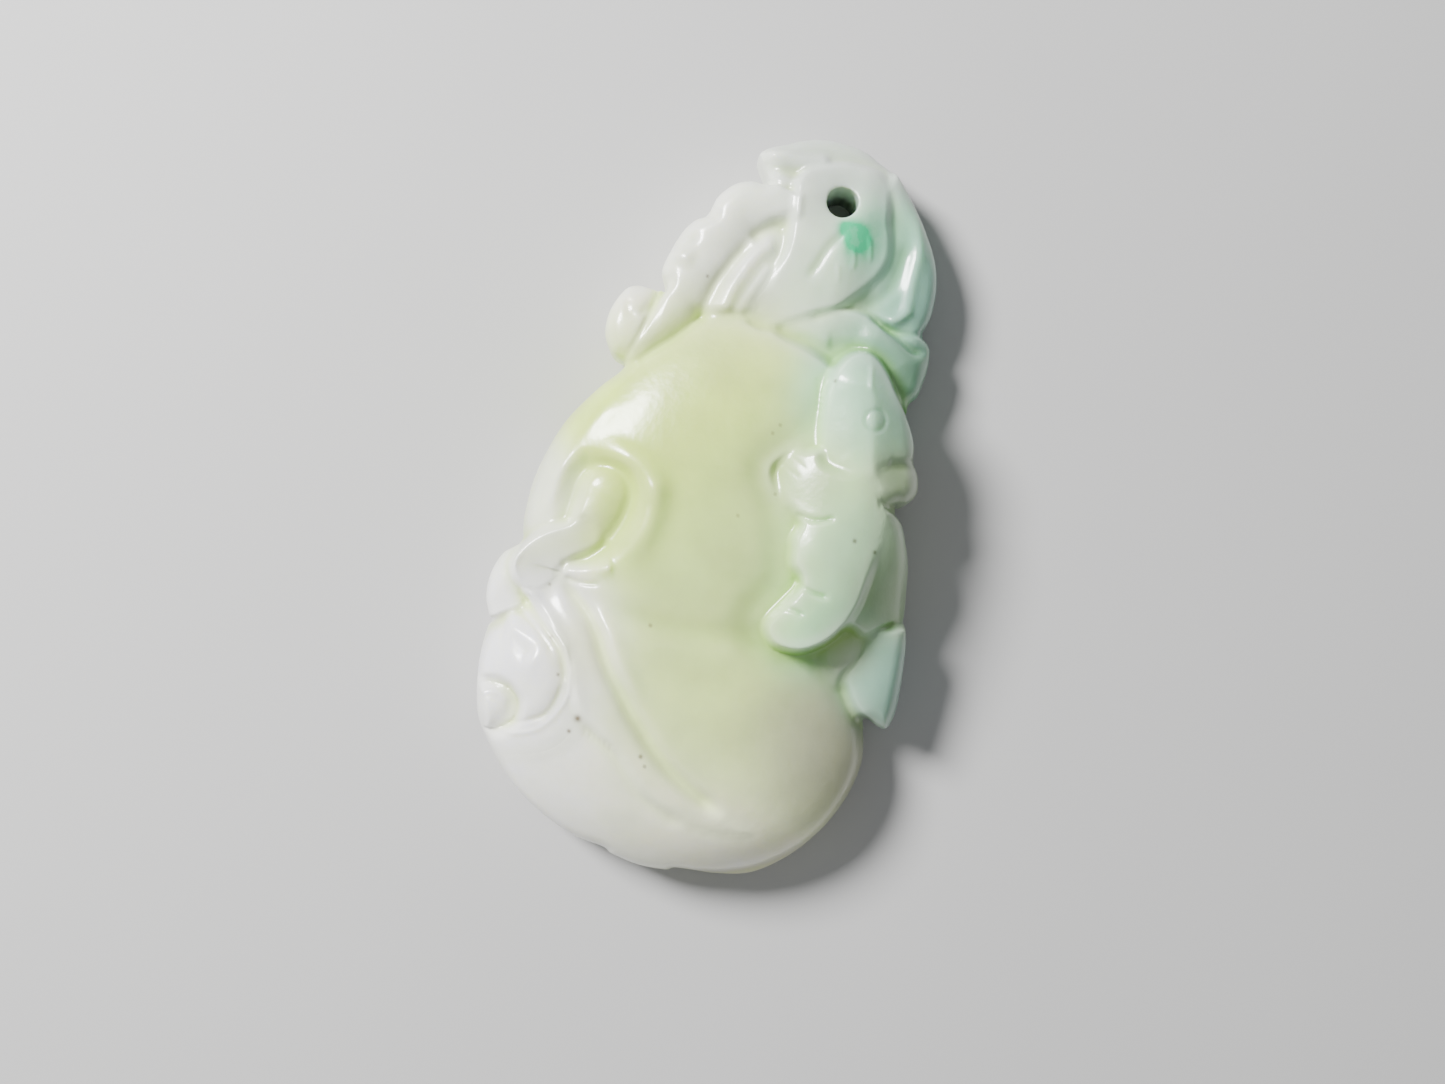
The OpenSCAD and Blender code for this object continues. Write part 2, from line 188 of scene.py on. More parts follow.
def spot(x, y, height, rx, ry=None, turn=0.0):
    """A round or oval rise, or a dent where height is negative."""
    reach = 3 * max(rx, ry or 0)
    p = Patch(x - reach, x + reach, y - reach, y + reach)
    TOP[p.here] += p.bump(x, y, height, rx, ry, turn)


def blur(a, radius):
    """A soft average over a radius in mm."""
    n = max(1, round(radius / STEP))
    for axis in (0, 1):
        for _ in range(2):
            pad = [(n + 1, n) if k == axis else (0, 0) for k in (0, 1)]
            c = np.cumsum(np.pad(a, pad, mode="edge"), axis)
            hi, lo = [slice(None)] * 2, [slice(None)] * 2
            hi[axis], lo[axis] = slice(2 * n + 1, None), slice(0, -(2 * n + 1))
            a = (c[tuple(hi)] - c[tuple(lo)]) / (2 * n + 1)
    return a


# ---- solids ----

def sample(f, origin, points):
    """The field's values at points, by linear steps between grid places."""
    q = (points - origin[: f.ndim]) / STEP
    i = np.clip(np.floor(q).astype(int), 0, np.array(f.shape) - 2)
    t = q - i
    out = 0
    for corner in np.ndindex(*(2,) * f.ndim):
        w = 1
        for k, c in enumerate(corner):
            w = w * (t[:, k] if c else 1 - t[:, k])
        out = out + w * f[tuple(i[:, k] + c for k, c in enumerate(corner))]
    return out


def mesh_piece(name, p, z, f, seam, nodes):
    """Meshes a signed field as one closed surface and registers it as a visible piece."""
    origin = np.array([p.x[0], p.y[0], z[0]])
    grid = openvdb.FloatGrid(3 * STEP)
    clipped = np.clip(f, -3 * STEP, 3 * STEP).astype(np.float32)
    grid.copyFromArray(np.ascontiguousarray(clipped))
    verts, quads = grid.convertToQuads(0.0)
    points = np.asarray(verts, float) * STEP + origin
    h = STEP / 2
    for _ in range(2):
        slope = np.stack([
            sample(f, origin, points + h * axis) - sample(f, origin, points - h * axis)
            for axis in np.eye(3)
        ], 1) / (2 * h)
        steep = np.maximum((slope**2).sum(1), 0.05)
        move = -sample(f, origin, points)[:, None] * slope / steep[:, None]
        points = points + np.clip(move, -h, h)
    faces = np.asarray(quads, np.int32)
    a, b, c = points[faces[:, 0]], points[faces[:, 1]], points[faces[:, 2]]
    if (a * np.cross(b, c)).sum() < 0:
        faces = faces[:, ::-1]
    mesh = bpy.data.meshes.new(name)
    mesh.vertices.add(len(points))
    mesh.vertices.foreach_set("co", (points * MM).astype(np.float32).ravel())
    mesh.loops.add(faces.size)
    mesh.loops.foreach_set("vertex_index", np.ascontiguousarray(faces).ravel())
    mesh.polygons.add(len(faces))
    mesh.polygons.foreach_set("loop_start", np.arange(0, faces.size, 4, dtype=np.int32))
    mesh.update(calc_edges=True)
    mesh.validate()
    mesh.polygons.foreach_set("use_smooth", np.ones(len(mesh.polygons), bool))
    # the colour attribute holds the stone's tints together with the painted light and shade
    tint_and_light = mesh.color_attributes.new("tint_and_light", "FLOAT_COLOR", "POINT")
    colour = jade_colour_and_light(points)
    tint_and_light.data.foreach_set("color", colour.astype(np.float32).ravel())
    # light goes less deep beside a seam, so that the stone reads as one, and in a dark speck
    deep = mesh.attributes.new("deep", "FLOAT", "POINT")
    depth = fade(0.1, 1.2, -sample(seam, origin, points[:, :2]))
    depth = depth * (1 - specked(points)) * (1 - 0.9 * colour[:, 3])
    deep.data.foreach_set("value", depth.astype(np.float32))
    obj = bpy.data.objects.new(name, mesh)
    bpy.context.scene.collection.objects.link(obj)
    obj.data.materials.append(jade)
    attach(obj, "root")
    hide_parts(*nodes)
    return obj


# ---- the stone's colour, with painted light and shade ----

# x, y, reach in mm and the colour there: the stone's own tints, plus painted light that lifts the bottom
# and the curl on the lit left, and painted shade that darkens the side leaves, jaw, haunch, tail and lower
# right on the shaded right
TINTS_WITH_PAINTED_LIGHT = [
    (-12.5, -3, 2.6, (0.82, 0.86, 0.68)), (-9, 5, 3.0, (0.64, 0.82, 0.13)),
    (-4, 3, 5.0, (0.67, 0.82, 0.17)), (-3, 8.5, 3.2, (0.66, 0.79, 0.22)),
    (1, 0, 5.0, (0.62, 0.775, 0.29)), (3, -5, 3.0, (0.56, 0.70, 0.25)),
    (1, -9, 3.0, (0.61, 0.745, 0.27)), (2, -14, 5.0, (0.69, 0.82, 0.31)),
    (-3, -21, 5.0, (0.98, 0.99, 0.84)), (-9, -14, 4.0, (0.93, 0.93, 0.88)),
    (8, -13, 3.0, (0.45, 0.46, 0.32)), (-6.4, -11.4, 1.6, (0.84, 0.88, 0.55)),
    (4.5, -20.8, 4.0, (0.97, 1.0, 0.70)), (-5, 16, 5.0, (0.91, 0.94, 0.80)),
    (-9.5, 9, 2.6, (0.96, 1.0, 0.77)), (-6.6, 8, 1.6, (0.62, 0.78, 0.18)),
    (0, 22, 4.0, (0.62, 0.69, 0.61)), (1, 15, 3.0, (0.62, 0.78, 0.56)),
    (4.5, 18, 2.5, (0.34, 0.70, 0.46)), (7.5, 16, 3.0, (0.28, 0.52, 0.41)),
    (7, 11, 3.0, (0.17, 0.37, 0.23)), (5, 8, 3.0, (0.49, 0.80, 0.56)),
    (3, 2.5, 2.0, (0.47, 0.60, 0.38)), (6.5, -1, 3.0, (0.48, 0.75, 0.49)),
    (6.5, -6, 2.5, (0.38, 0.74, 0.45)), (9.6, 3.6, 1.6, (0.30, 0.40, 0.22)),
    (10.6, -2, 2.5, (0.34, 0.48, 0.26)), (11.8, -8, 2.2, (0.28, 0.50, 0.38)),
    (9.0, -6.9, 1.4, (0.66, 0.72, 0.44)),
]


# x, y, reach and strength of the vivid green in the leaf
GREEN = [
    (2.4, 17.95, 0.62, 1.5), (2.95, 17.9, 0.55, 1.3), (1.8, 18.1, 0.4, 0.9), (2.6, 17.3, 0.5, 0.9),
    (3.4, 17.3, 0.8, 0.5), (2.6, 16.5, 0.6, 0.35), (3.6, 18.8, 1.2, 0.22),
]
# x, y and size of the dark specks in the stone
SPECKS = [
    (-5.3, -15.3, 0.22), (-5.6, -16.2, 0.12), (-7.2, -13.1, 0.08), (-8.3, -11.1, 0.09),
    (-9.4, -8.1, 0.08), (-2.7, -8.7, 0.1), (-1, -16.4, 0.12), (-0.6, -16.9, 0.09), (7.6, -0.3, 0.12),
    (9, -0.6, 0.1), (3.8, 8.6, 0.09), (1.4, 5.2, 0.07), (1.1, 4.6, 0.07), (0.5, -0.8, 0.07),
    (-5.5, 12.9, 0.08), (2.3, 1.1, 0.07),
]


def specked(points):
    near = [bell(np.hypot(points[:, 0] - x, points[:, 1] - y), size) for x, y, size in SPECKS]
    return np.maximum.reduce(near) * fade(2, 4, points[:, 2])


def jade_colour_and_light(points):
    p = points
    total, weight = 0.0, 1e-6
    for x, y, reach, colour in TINTS_WITH_PAINTED_LIGHT:
        w = np.exp(-((p[:, 0] - x) ** 2 + (p[:, 1] - y) ** 2) / reach**2)[:, None]
        total, weight = total + w * np.array(colour), weight + w
    rgb = total / weight
    # painted shade: hollows are darkened towards a deeper yellow green; painted light: ridges are made
    # paler
    deep = sample(HOLLOW_SHADE, np.array([whole.x[0], whole.y[0]]), p[:, :2])
    front = fade(0.8, 2.5, p[:, 2])
    deep = (np.minimum(deep, 1.0) * front)[:, None]
    rgb = rgb * (1 - np.clip(deep, 0, 1) * np.array([0.20, 0.10, 0.50]))
    rgb = rgb + (1 - rgb) * np.clip(-deep, 0, 1) * 0.15
    rgb = rgb * (1 - specked(p)[:, None] * np.array([0.82, 0.88, 0.93]))
    green = sum(a * bell(np.hypot(p[:, 0] - x, p[:, 1] - y), r) for x, y, r, a in GREEN)
    return np.concatenate([rgb, (np.clip(green, 0, 1) * fade(2, 5, p[:, 2]))[:, None]], 1)



def jade_material():
    m = bpy.data.materials.new("jade")
    m.use_nodes = True
    n, links = m.node_tree.nodes, m.node_tree.links
    n.clear()
    out = n.new("ShaderNodeOutputMaterial")
    bsdf = n.new("ShaderNodeBsdfPrincipled")
    links.new(bsdf.outputs[0], out.inputs[0])
    bsdf.inputs["Roughness"].default_value = 0.29
    bsdf.inputs["IOR"].default_value = 1.62
    bsdf.inputs["Coat Weight"].default_value = 0.3
    bsdf.inputs["Coat Roughness"].default_value = 0.1
    deep = n.new("ShaderNodeAttribute")
    deep.attribute_name = "deep"
    links.new(deep.outputs["Fac"], bsdf.inputs["Subsurface Weight"])
    bsdf.inputs["Subsurface Radius"].default_value = (1.0, 1.0, 0.75)
    bsdf.inputs["Subsurface Scale"].default_value = 0.0010
    # the colour attribute holds the stone's tints together with the painted light and shade
    tint_and_light = n.new("ShaderNodeAttribute")
    tint_and_light.attribute_name = "tint_and_light"
    place = n.new("ShaderNodeTexCoord")
    cloud = n.new("ShaderNodeTexNoise")
    cloud.inputs["Scale"].default_value = 260
    cloud.inputs["Detail"].default_value = 8
    links.new(place.outputs["Object"], cloud.inputs["Vector"])
    level = n.new("ShaderNodeMapRange")
    level.inputs["From Min"].default_value = 0.3
    level.inputs["From Max"].default_value = 0.7
    level.inputs["To Min"].default_value = 0.88
    level.inputs["To Max"].default_value = 1.09
    links.new(cloud.outputs["Fac"], level.inputs["Value"])
    shade = n.new("ShaderNodeVectorMath")
    shade.operation = "SCALE"
    links.new(tint_and_light.outputs["Color"], shade.inputs[0])
    links.new(level.outputs[0], shade.inputs["Scale"])
    # the vivid green breaks up into flecks
    fleck = n.new("ShaderNodeTexNoise")
    fleck.inputs["Scale"].default_value = 1400
    fleck.inputs["Detail"].default_value = 3
    links.new(place.outputs["Object"], fleck.inputs["Vector"])
    broken = n.new("ShaderNodeMapRange")
    broken.inputs["From Min"].default_value = 0.35
    broken.inputs["From Max"].default_value = 0.65
    broken.inputs["To Min"].default_value = 0.85
    broken.inputs["To Max"].default_value = 1.4
    links.new(fleck.outputs["Fac"], broken.inputs["Value"])
    amount = n.new("ShaderNodeMath")
    amount.operation = "MULTIPLY"
    amount.use_clamp = True
    links.new(tint_and_light.outputs["Alpha"], amount.inputs[0])
    links.new(broken.outputs[0], amount.inputs[1])
    green = n.new("ShaderNodeMix")
    green.data_type = "RGBA"
    links.new(amount.outputs[0], green.inputs["Factor"])
    links.new(shade.outputs[0], green.inputs["A"])
    green.inputs["B"].default_value = (0.01, 0.52, 0.22, 1)
    links.new(green.outputs["Result"], bsdf.inputs["Base Color"])
    wear = n.new("ShaderNodeTexNoise")
    wear.inputs["Scale"].default_value = 1500
    wear.inputs["Detail"].default_value = 3
    links.new(place.outputs["Object"], wear.inputs["Vector"])
    dent = n.new("ShaderNodeBump")
    dent.inputs["Strength"].default_value = 0.12
    dent.inputs["Distance"].default_value = 0.0002
    links.new(wear.outputs["Fac"], dent.inputs["Height"])
    links.new(dent.outputs[0], bsdf.inputs["Normal"])
    return m


jade = jade_material()


# ---- the carving: outlines and heights in mm, laid from the back of the relief to its front ----

STONE = [
    (-3.6, 19.8), (-4.7, 21.3), (-4.5, 22.1), (-3.4, 22.8), (-2.5, 23.4), (-1.3, 23.9), (0.1, 24.1),
    (1.6, 24.0), (2.9, 23.5), (4.3, 22.6), (5.5, 21.4), (6.8, 19.9), (7.9, 18.3), (8.5, 16.7),
    (8.7, 14.9), (8.6, 13.7), (9.3, 12.9), (9.5, 11.4), (9.4, 9.9), (8.9, 8.9), (9.6, 7.2), (10.1, 5.9),
    (10.6, 4.5), (10.7, 3.5), (10.3, 2.7), (9.8, 2.4), (10.7, 1.3), (11.6, -0.4), (12.3, -2.6),
    (13.0, -5.4), (13.5, -8.6), (13.55, -10.1), (13.2, -11.0), (12.0, -10.9), (12.4, -12.2),
    (12.7, -13.6), (12.6, -15), (12.2, -16.6), (11.4, -18.6), (10, -20.7), (7.9, -22.5), (5.4, -23.3),
    (3.2, -23.5), (2.6, -23.9), (0.7, -24), (-1.2, -23.8), (-1.8, -23.4), (-3.6, -23.4), (-5.7, -22.8),
    (-7.9, -21.7), (-9.6, -20.3), (-10.7, -19.1), (-11.8, -17.8), (-12.4, -16.2), (-12.9, -14),
    (-12.95, -12.2), (-12.8, -11.4), (-13.4, -10.1), (-13.5, -8.6), (-13.1, -7.2), (-12.4, -6.3),
    (-12.7, -4.7), (-12.8, -2.2), (-12.4, 0.3), (-11.7, 2.4), (-10.3, 4.6), (-9, 6.3), (-10.1, 6.8),
    (-10.9, 8.2), (-10.9, 9.6), (-10.4, 11.1), (-9.5, 11.5), (-8.1, 11.7), (-8.5, 12.8), (-8.3, 14.2),
    (-8, 15.3), (-7.4, 16.2), (-6.7, 16.8), (-6.4, 18), (-5.6, 19.1), (-4.6, 19.6),
]
BUD_HOLLOW = [
    (-9.9, 0.2), (-8.5, 0.5), (-6.9, 0.25), (-5.6, -0.7), (-5.1, -2.4), (-5.4, -4.4), (-6.3, -6),
    (-7.4, -7), (-9, -6.8), (-10.2, -5.4), (-10.6, -3.4), (-10.6, -1.2),
]
CREST = [
    (-3.6, 19.7), (-4.6, 20.8), (-5, 21.7), (-4.3, 22.6), (-3.3, 23.1), (-2.5, 23.7), (-1.3, 24.3),
    (0.1, 24.5), (1.6, 24.4), (2.9, 23.7), (3.8, 22.6), (3.6, 21), (2, 19.6), (0, 19.3), (-2, 19.4),
]
FRONT_LEAF = [
    (-2.1, 11.0), (-0.6, 11.3), (0.5, 12.0), (1.7, 12.7), (2.8, 13.3), (3.6, 14.2), (4.3, 15.2),
    (4.8, 16.2), (5.0, 17.2), (4.8, 18.4), (4.4, 19.4), (4.1, 20.7), (3.8, 21.6), (3.2, 22.2),
    (2.3, 22.4), (0.9, 22.3), (-0.6, 21.7), (-1.6, 21.0), (-1.9, 20), (-1.7, 18.7), (-1.4, 17.1),
    (-1.3, 15.8), (-1.5, 14.7), (-1.8, 13.3), (-2.2, 12.3),
]
SIDE_UPPER = [
    (3.2, 23.6), (4.8, 22.6), (6.2, 21.2), (7.3, 19.9), (8.3, 18.4), (8.9, 16.8), (9.1, 15.2),
    (8.7, 13.7), (7.4, 13.0), (6, 13.1), (4.6, 13.6), (3, 13.4), (1.6, 12.4), (0.8, 13.6), (2, 16),
    (3, 19), (2.6, 21.4),
]
SIDE_LOWER = [
    (8.5, 13.6), (9.5, 13.1), (9.9, 11.7), (9.8, 10.5), (9.5, 9.3), (8.4, 8.3), (6.8, 8.3), (4.4, 9.4),
    (2, 10.3), (-0.6, 10.9), (-0.6, 12), (2, 13.2), (4.4, 13.8), (6.4, 13.2),
]
VINE = [
    (-1.4, 19.4), (-3.8, 19.9), (-5.1, 19.9), (-6.2, 19.2), (-6.8, 18.2), (-7, 17.2), (-7.8, 16.6),
    (-8.3, 15.7), (-8.5, 14.9), (-8.7, 14.1), (-8.9, 13.1), (-8.7, 12.2), (-8.1, 11.6), (-8.2, 10.4),
    (-8.5, 8.6), (-9, 6.6), (-8.2, 6.7), (-7.4, 7.6), (-6.4, 8.7), (-5.6, 9.9), (-5.1, 11.3),
    (-4.9, 12.6), (-4.5, 13.8), (-4.0, 14.9), (-3.5, 16), (-2.9, 16.9), (-2.3, 17.4), (-1.2, 17.6),
]
CURL = [
    (-8.1, 11.7), (-8.9, 12), (-9.9, 12), (-10.7, 11.3), (-11.3, 9.9), (-11.4, 8.8), (-11.2, 7.5),
    (-10.3, 6.5), (-9.4, 6.1), (-8.8, 6.4), (-8.4, 7.6), (-8.1, 9), (-8, 10.4),
]
STEM = [
    (-1, 17.6), (-2.3, 17.4), (-2.9, 16.9), (-3.5, 16), (-4, 14.9), (-4.5, 13.8), (-4.9, 12.6),
    (-5.1, 11.3), (-4.4, 10.8), (-2.4, 11.2), (-0.8, 11), (-0.8, 14),
]
BUD = [
    (-9.2, -1.4), (-8.7, -0.5), (-7.8, -0.1), (-6.8, -0.3), (-6.2, -1.1), (-6.1, -2.3), (-6.4, -3.6),
    (-7.1, -4.8), (-8.0, -5.4), (-8.9, -5), (-9.2, -4), (-9.2, -2.6),
]
STRAP = [
    (-8.2, -3.6), (-9.2, -4), (-10.2, -4.6), (-11.2, -5.4), (-11.9, -6.4), (-12.15, -7.4),
    (-11.8, -8.3), (-11, -8.8), (-10.4, -8.9), (-9.7, -8.6), (-9.1, -7.8), (-9.1, -7), (-8.4, -6.2),
    (-7.5, -5.4), (-7.2, -4.6),
]
TAIL = [
    (-10.8, -8.9), (-9.6, -8.2), (-8.9, -7.5), (-8.0, -8.2), (-7.1, -8.8), (-6.3, -9.5), (-5.5, -10.4),
    (-4.9, -11.3), (-4.1, -12.2), (-3.1, -13.2), (-2.2, -14.2), (-1.3, -15.0), (-0.4, -15.8),
    (1, -16.9), (3, -17.9), (5, -18.7), (6.6, -19.2), (5, -19.7), (3, -19.6), (1.2, -19.1),
    (-0.4, -18.5), (-1.6, -17.5), (-2.6, -16.6), (-4, -15.8), (-5.4, -14.9), (-6.3, -13.5),
    (-6.8, -12.3), (-7.6, -11.2), (-8.6, -10.5), (-9.8, -9.7),
]
LOBE = [
    (-12.4, -6.1), (-13.5, -7), (-14, -8.6), (-13.9, -10.3), (-12.9, -11.6), (-11.6, -10.8),
    (-10.6, -9.8), (-10.6, -7.6), (-11.2, -6),
]
RUYI = [
    (-12.8, -11.3), (-13.4, -12.4), (-13.3, -14.2), (-12.9, -16.3), (-12.2, -18), (-11.4, -19.3),
    (-10, -19.3), (-8.0, -18.5), (-6.4, -17.6), (-5.5, -16.2), (-5.5, -14.8), (-6.0, -13.4),
    (-6.5, -12.3), (-7.1, -11.4), (-8.1, -10.6), (-9.4, -9.9), (-10.6, -9.6), (-11.6, -10.2),
]
CUSHION = [
    (-12.9, -11.4), (-13.4, -13), (-13.2, -14.8), (-12.7, -16.2), (-11.7, -17.4), (-10.4, -17.7),
    (-8.8, -17.3), (-7.7, -16.8), (-7.1, -16.1), (-6.6, -15.2), (-6.3, -14.3), (-6.3, -13.3),
    (-6.6, -12.3), (-7.1, -11.4), (-7.9, -10.7), (-9.1, -10), (-10.6, -9.6), (-11.8, -10.2),
]
BEAD = [
    (-12.6, -16.2), (-12, -15.4), (-11.2, -15), (-10.1, -15), (-9.3, -15.6), (-9.2, -16.6),
    (-9.8, -17.4), (-10.8, -17.9), (-12, -17.6),
]
HEAD = [
    (3.5, 8.3), (3.55, 9.2), (3.95, 10.3), (4.8, 11), (5.9, 10.95), (6.9, 10.2), (7.8, 9.1), (8.9, 8),
    (9.8, 6.9), (10.1, 6), (9.9, 5.3), (8.8, 4.9), (7.9, 4.4), (7.5, 3.8), (6, 3.4), (4.6, 3.6),
    (4.1, 4.6), (3.8, 5.9), (3.6, 7.2),
]
RAT_BACK = [
    (3.4, 4.1), (4.0, 4.4), (4.6, 4.6), (6, 4.6), (7.2, 4.2), (7.7, 3.7), (8.4, 2.7), (9, 1.2),
    (9.15, -0.8), (9.15, -2.6), (9.05, -3.9), (8.7, -5.2), (8.2, -6.2), (7.5, -7), (6.6, -7.6),
    (5.7, -7.8), (4.8, -7.7), (4.2, -7.2), (4, -6.5), (4.4, -5.6), (4.9, -4.7), (5.25, -3.9),
    (5.1, -3.3), (4.5, -2.7), (4.25, -1.8), (4.1, -1.1), (4.25, -0.2), (3.6, 0.4), (2.9, 0.85),
    (2.1, 1.75), (1.8, 2.5), (2.05, 3.2), (2.7, 3.9),
]
FAR_PAW = [
    (8.6, 5.6), (9.6, 5.5), (10.4, 5.4), (11, 4.5), (11.1, 3.5), (10.5, 2.6), (9.6, 2.3), (8.6, 2.2),
    (7.4, 3), (7, 4.4),
]
HAUNCH = [
    (8.6, 2.4), (9.3, 2.3), (10.4, 1.9), (11.3, 0.6), (12, -0.7), (12.4, -2), (12.8, -3.6),
    (12.4, -4.2), (11.1, -5), (10.1, -5.6), (9.2, -5.4), (8, -5.2), (8, -2.6), (8, 1.2),
]
RAT_TAIL = [
    (12.4, -3.9), (13.2, -5.2), (13.7, -7.4), (14, -9.4), (13.9, -11), (13.0, -11.5), (11.9, -10.9),
    (10.9, -10.3), (10.1, -9.4), (9.6, -8.5), (9.8, -7.6), (10, -6.8), (9.9, -5.8), (10.6, -4.9),
    (11.4, -4.6),
]
PETAL = [
    (-1.9, -23.3), (-1.3, -24.4), (0.7, -24.6), (2.9, -24.4), (3.5, -23.5), (2.6, -23.3), (0.6, -23.2),
    (-1, -23.2),
]


def oval(x, y, across, along, lean, low, high, power):
    """A dome over an oval that leans to the right by an angle in degrees."""
    c, s = math.cos(math.radians(lean)), math.sin(math.radians(lean))
    u = ((whole.X - x) * c - (whole.Y - y) * s) / across
    v = ((whole.X - x) * s + (whole.Y - y) * c) / along
    share = np.clip(np.hypot(u, v), 0, 1)
    return low + (high - low) * np.sqrt(1 - share**power)


# the two lobes of the gourd, and the soft groove at the waist between them
upper = oval(-0.5, -0.5, 11.8, 15.5, 19, 1.8, 7.1, 2.8)
lower = oval(0, -14.2, 13, 9.8, 0, 1.8, 7.3, 2.6)
TOP[:] = blur(soft_max(upper, lower, 1.6), 0.4)
line([(-8.3, -8.4), (-5, -8.5), (-2, -8.5), (0.5, -8.2), (2.5, -7.8), (5, -8), (8, -8.8)],
     -0.3, 0.9, 0.15)
line([(-8.2, 5), (-9.4, 3), (-10.3, 1.2), (-10.8, -0.6), (-10.8, -3.2)], 0.22, 0.9, 0.3)
# the flank dips beside the animal
line([(3, 9.5), (3.2, 6), (2.2, 4.6), (0.9, 2.4), (2.4, 0), (3.2, -2), (3.7, -4), (2.8, -6.4),
      (4.2, -8.6), (7.4, -8.8)],
     -0.22, 0.9, 0.2)

# the hollow round the bud, with its raised lip
p = Patch.around(BUD_HOLLOW, 2)
TOP[p.here] -= 0.7 * fade(0.35, -1.3, p.edge(BUD_HOLLOW))
line([(-9.8, 0.6), (-8.6, 0.95), (-7.2, 0.85), (-5.7, 0.3), (-4.7, -0.9), (-4.5, -2.6), (-4.8, -4.4),
      (-5.4, -6)],
     0.35, 0.75, 0.3)
line([(-10.2, 0.2), (-10.8, -1.2), (-10.9, -2.8), (-10.6, -4)], 0.25, 0.5, 0.3)
spot(-4.7, -0.7, 0.15, 0.7, 0.7)

# the leaves, vine and stem at the top of the stone
lay(SIDE_LOWER, lambda p: 4.7 - 0.12 * np.clip(p.X - 5, 0, 9) ** 1.5, 0.5)
line([(4.2, 12.6), (6, 12.2), (7.6, 11.4), (8.6, 10.2)], 0.35, 1.0, 0.3)
line([(2.6, 11.2), (4.2, 11.3), (5.4, 11)], -0.2, 0.5, 0.2)


def side_upper(p):
    # a ridge runs down the leaf, which falls away from it on the outer side
    d, t, s = p.along([
        (4.9, 22.4), (6.0, 20.6), (6.6, 18.8), (6.8, 17.2), (6.9, 16.0), (7.0, 14.9), (6.6, 13.9),
        (5.4, 13.3)])
    sides = 0.1 * fade(0.5, 3, d) * (s < 0) - 0.22 * d * (s > 0)
    return 4.4 - 0.25 * bell(d, 2) + 0.22 * bell(d, 0.5) * fade(0.1, 0.5, t) + sides


lay(SIDE_UPPER, side_upper, 0.4)
line([(5.9, 18.9), (5.9, 17.2), (5.7, 15.8), (5, 14.6), (3.8, 13.8)], -0.2, 0.5, 0.2)
line([(4.6, 13.5), (5.6, 13.3), (6.8, 12.8), (8.2, 12.3), (9.2, 12.6)], -0.35, 0.3, 0.2)
line([(6.1, 13.4), (6.8, 14), (7.4, 14.8)], 0.12, 0.3, 0.2)


def crest(p):
    return 4.5 - 1.7 * fade(20.8, 24.6, p.Y) - 0.4 * fade(-3, -5, p.X)


lay(CREST, crest, 0.4)
line([(-4.4, 21.4), (-3.2, 21.7), (-1.5, 21.8), (0, 22.2)], 0.3, 0.45)
line([(-4.2, 20.1), (-2.4, 20), (-1, 20.2), (0.4, 20.5)], 0.4, 0.35)
line([(-4.6, 20.8), (-3, 20.8), (-1.5, 20.9), (0, 21.1)], -0.2, 0.3)
line([(-4, 19.5), (-2.8, 19.45), (-1.6, 19.5)], -0.4, 0.2)

# one ground under the vine and the stem
lay([(-6.3, 10.5), (-6.3, 13), (-5.5, 15.5), (-4.4, 17.6), (-2, 18.6), (-0.6, 18.4), (-0.6, 11.4),
     (-3, 11.2), (-4.6, 10.9)],
    4.8, 0.5)


def vine(p):
    d, t, s = p.along([
        (-1.6, 18.6), (-3.4, 18.4), (-4.7, 17.7), (-5.4, 16.4), (-5.9, 14.8), (-6.3, 12.8), (-6.9, 11),
        (-7.6, 9.3), (-8.8, 7.6)])
    return 5.5 - 0.16 * d * d - 0.35 * t


lay(VINE, vine, 0.4)
line([(-8.9, 13.7), (-7.6, 13.7), (-6.4, 13.6)], 0.25, 0.5, 0.3)
line([(-8.9, 15.3), (-7.4, 15.1), (-6.4, 14.9)], -0.2, 0.35, 0.3)
line([(-7.3, 17), (-6.2, 16.7), (-5.6, 16.4)], -0.22, 0.35, 0.3)
line([(-8.9, 12), (-8, 12), (-7.2, 12.2)], -0.2, 0.35, 0.3)
lay(CURL, lambda p: 5.1 - 0.10 * ((p.X + 8.8) ** 2 + (p.Y - 8.6) ** 2), 0.6)
line([(-8.2, 11.6), (-8.4, 10.9), (-8.5, 10.1), (-8.9, 9.4)], -0.22, 0.3, 0.2)
line([(-8.9, 9.4), (-9.5, 9.4), (-9.8, 9.9), (-9.6, 10.5)], -0.08, 0.22, 0.25)
lay(STEM, lambda p: 5.1 - 0.03 * (p.Y - 11), 0.7)
line([(-1.9, 16.2), (-2.4, 15.8), (-3.1, 14.7), (-3.5, 13.5), (-3.8, 12.2), (-3.9, 10.8)], 0.3, 0.5, 0.1)
line([(-1.9, 14.8), (-2.3, 13.6), (-2.8, 12.2), (-3, 11)], 0.12, 0.3, 0.1)
line([(-1.5, 17.1), (-2.3, 17), (-3, 16.5), (-3.5, 15.7)], -0.2, 0.4, 0.2)
line([(-5.6, 9.9), (-5.1, 11.3), (-4.9, 12.6), (-4.4, 13.8), (-3.9, 14.9), (-3.4, 15.8)],
     -0.15, 0.45, 0.15)
line([(-8.8, 6.6), (-7.6, 7.5), (-6.4, 8.8), (-5.5, 10.2), (-5, 11.2)], -0.25, 0.7, 0.15)
line([(-4.4, 10.9), (-2.4, 11.3), (-0.9, 11.1), (0.5, 10.8), (1.6, 11), (2.8, 10.9), (4, 11.2)],
     -0.12, 0.35, 0.1)


def front_leaf(p):
    return (5.6 - 1.1 * fade(19.4, 22.8, p.Y) - 0.75 * fade(17, 11, p.Y) - 0.85 * fade(2, 5.2, p.X))


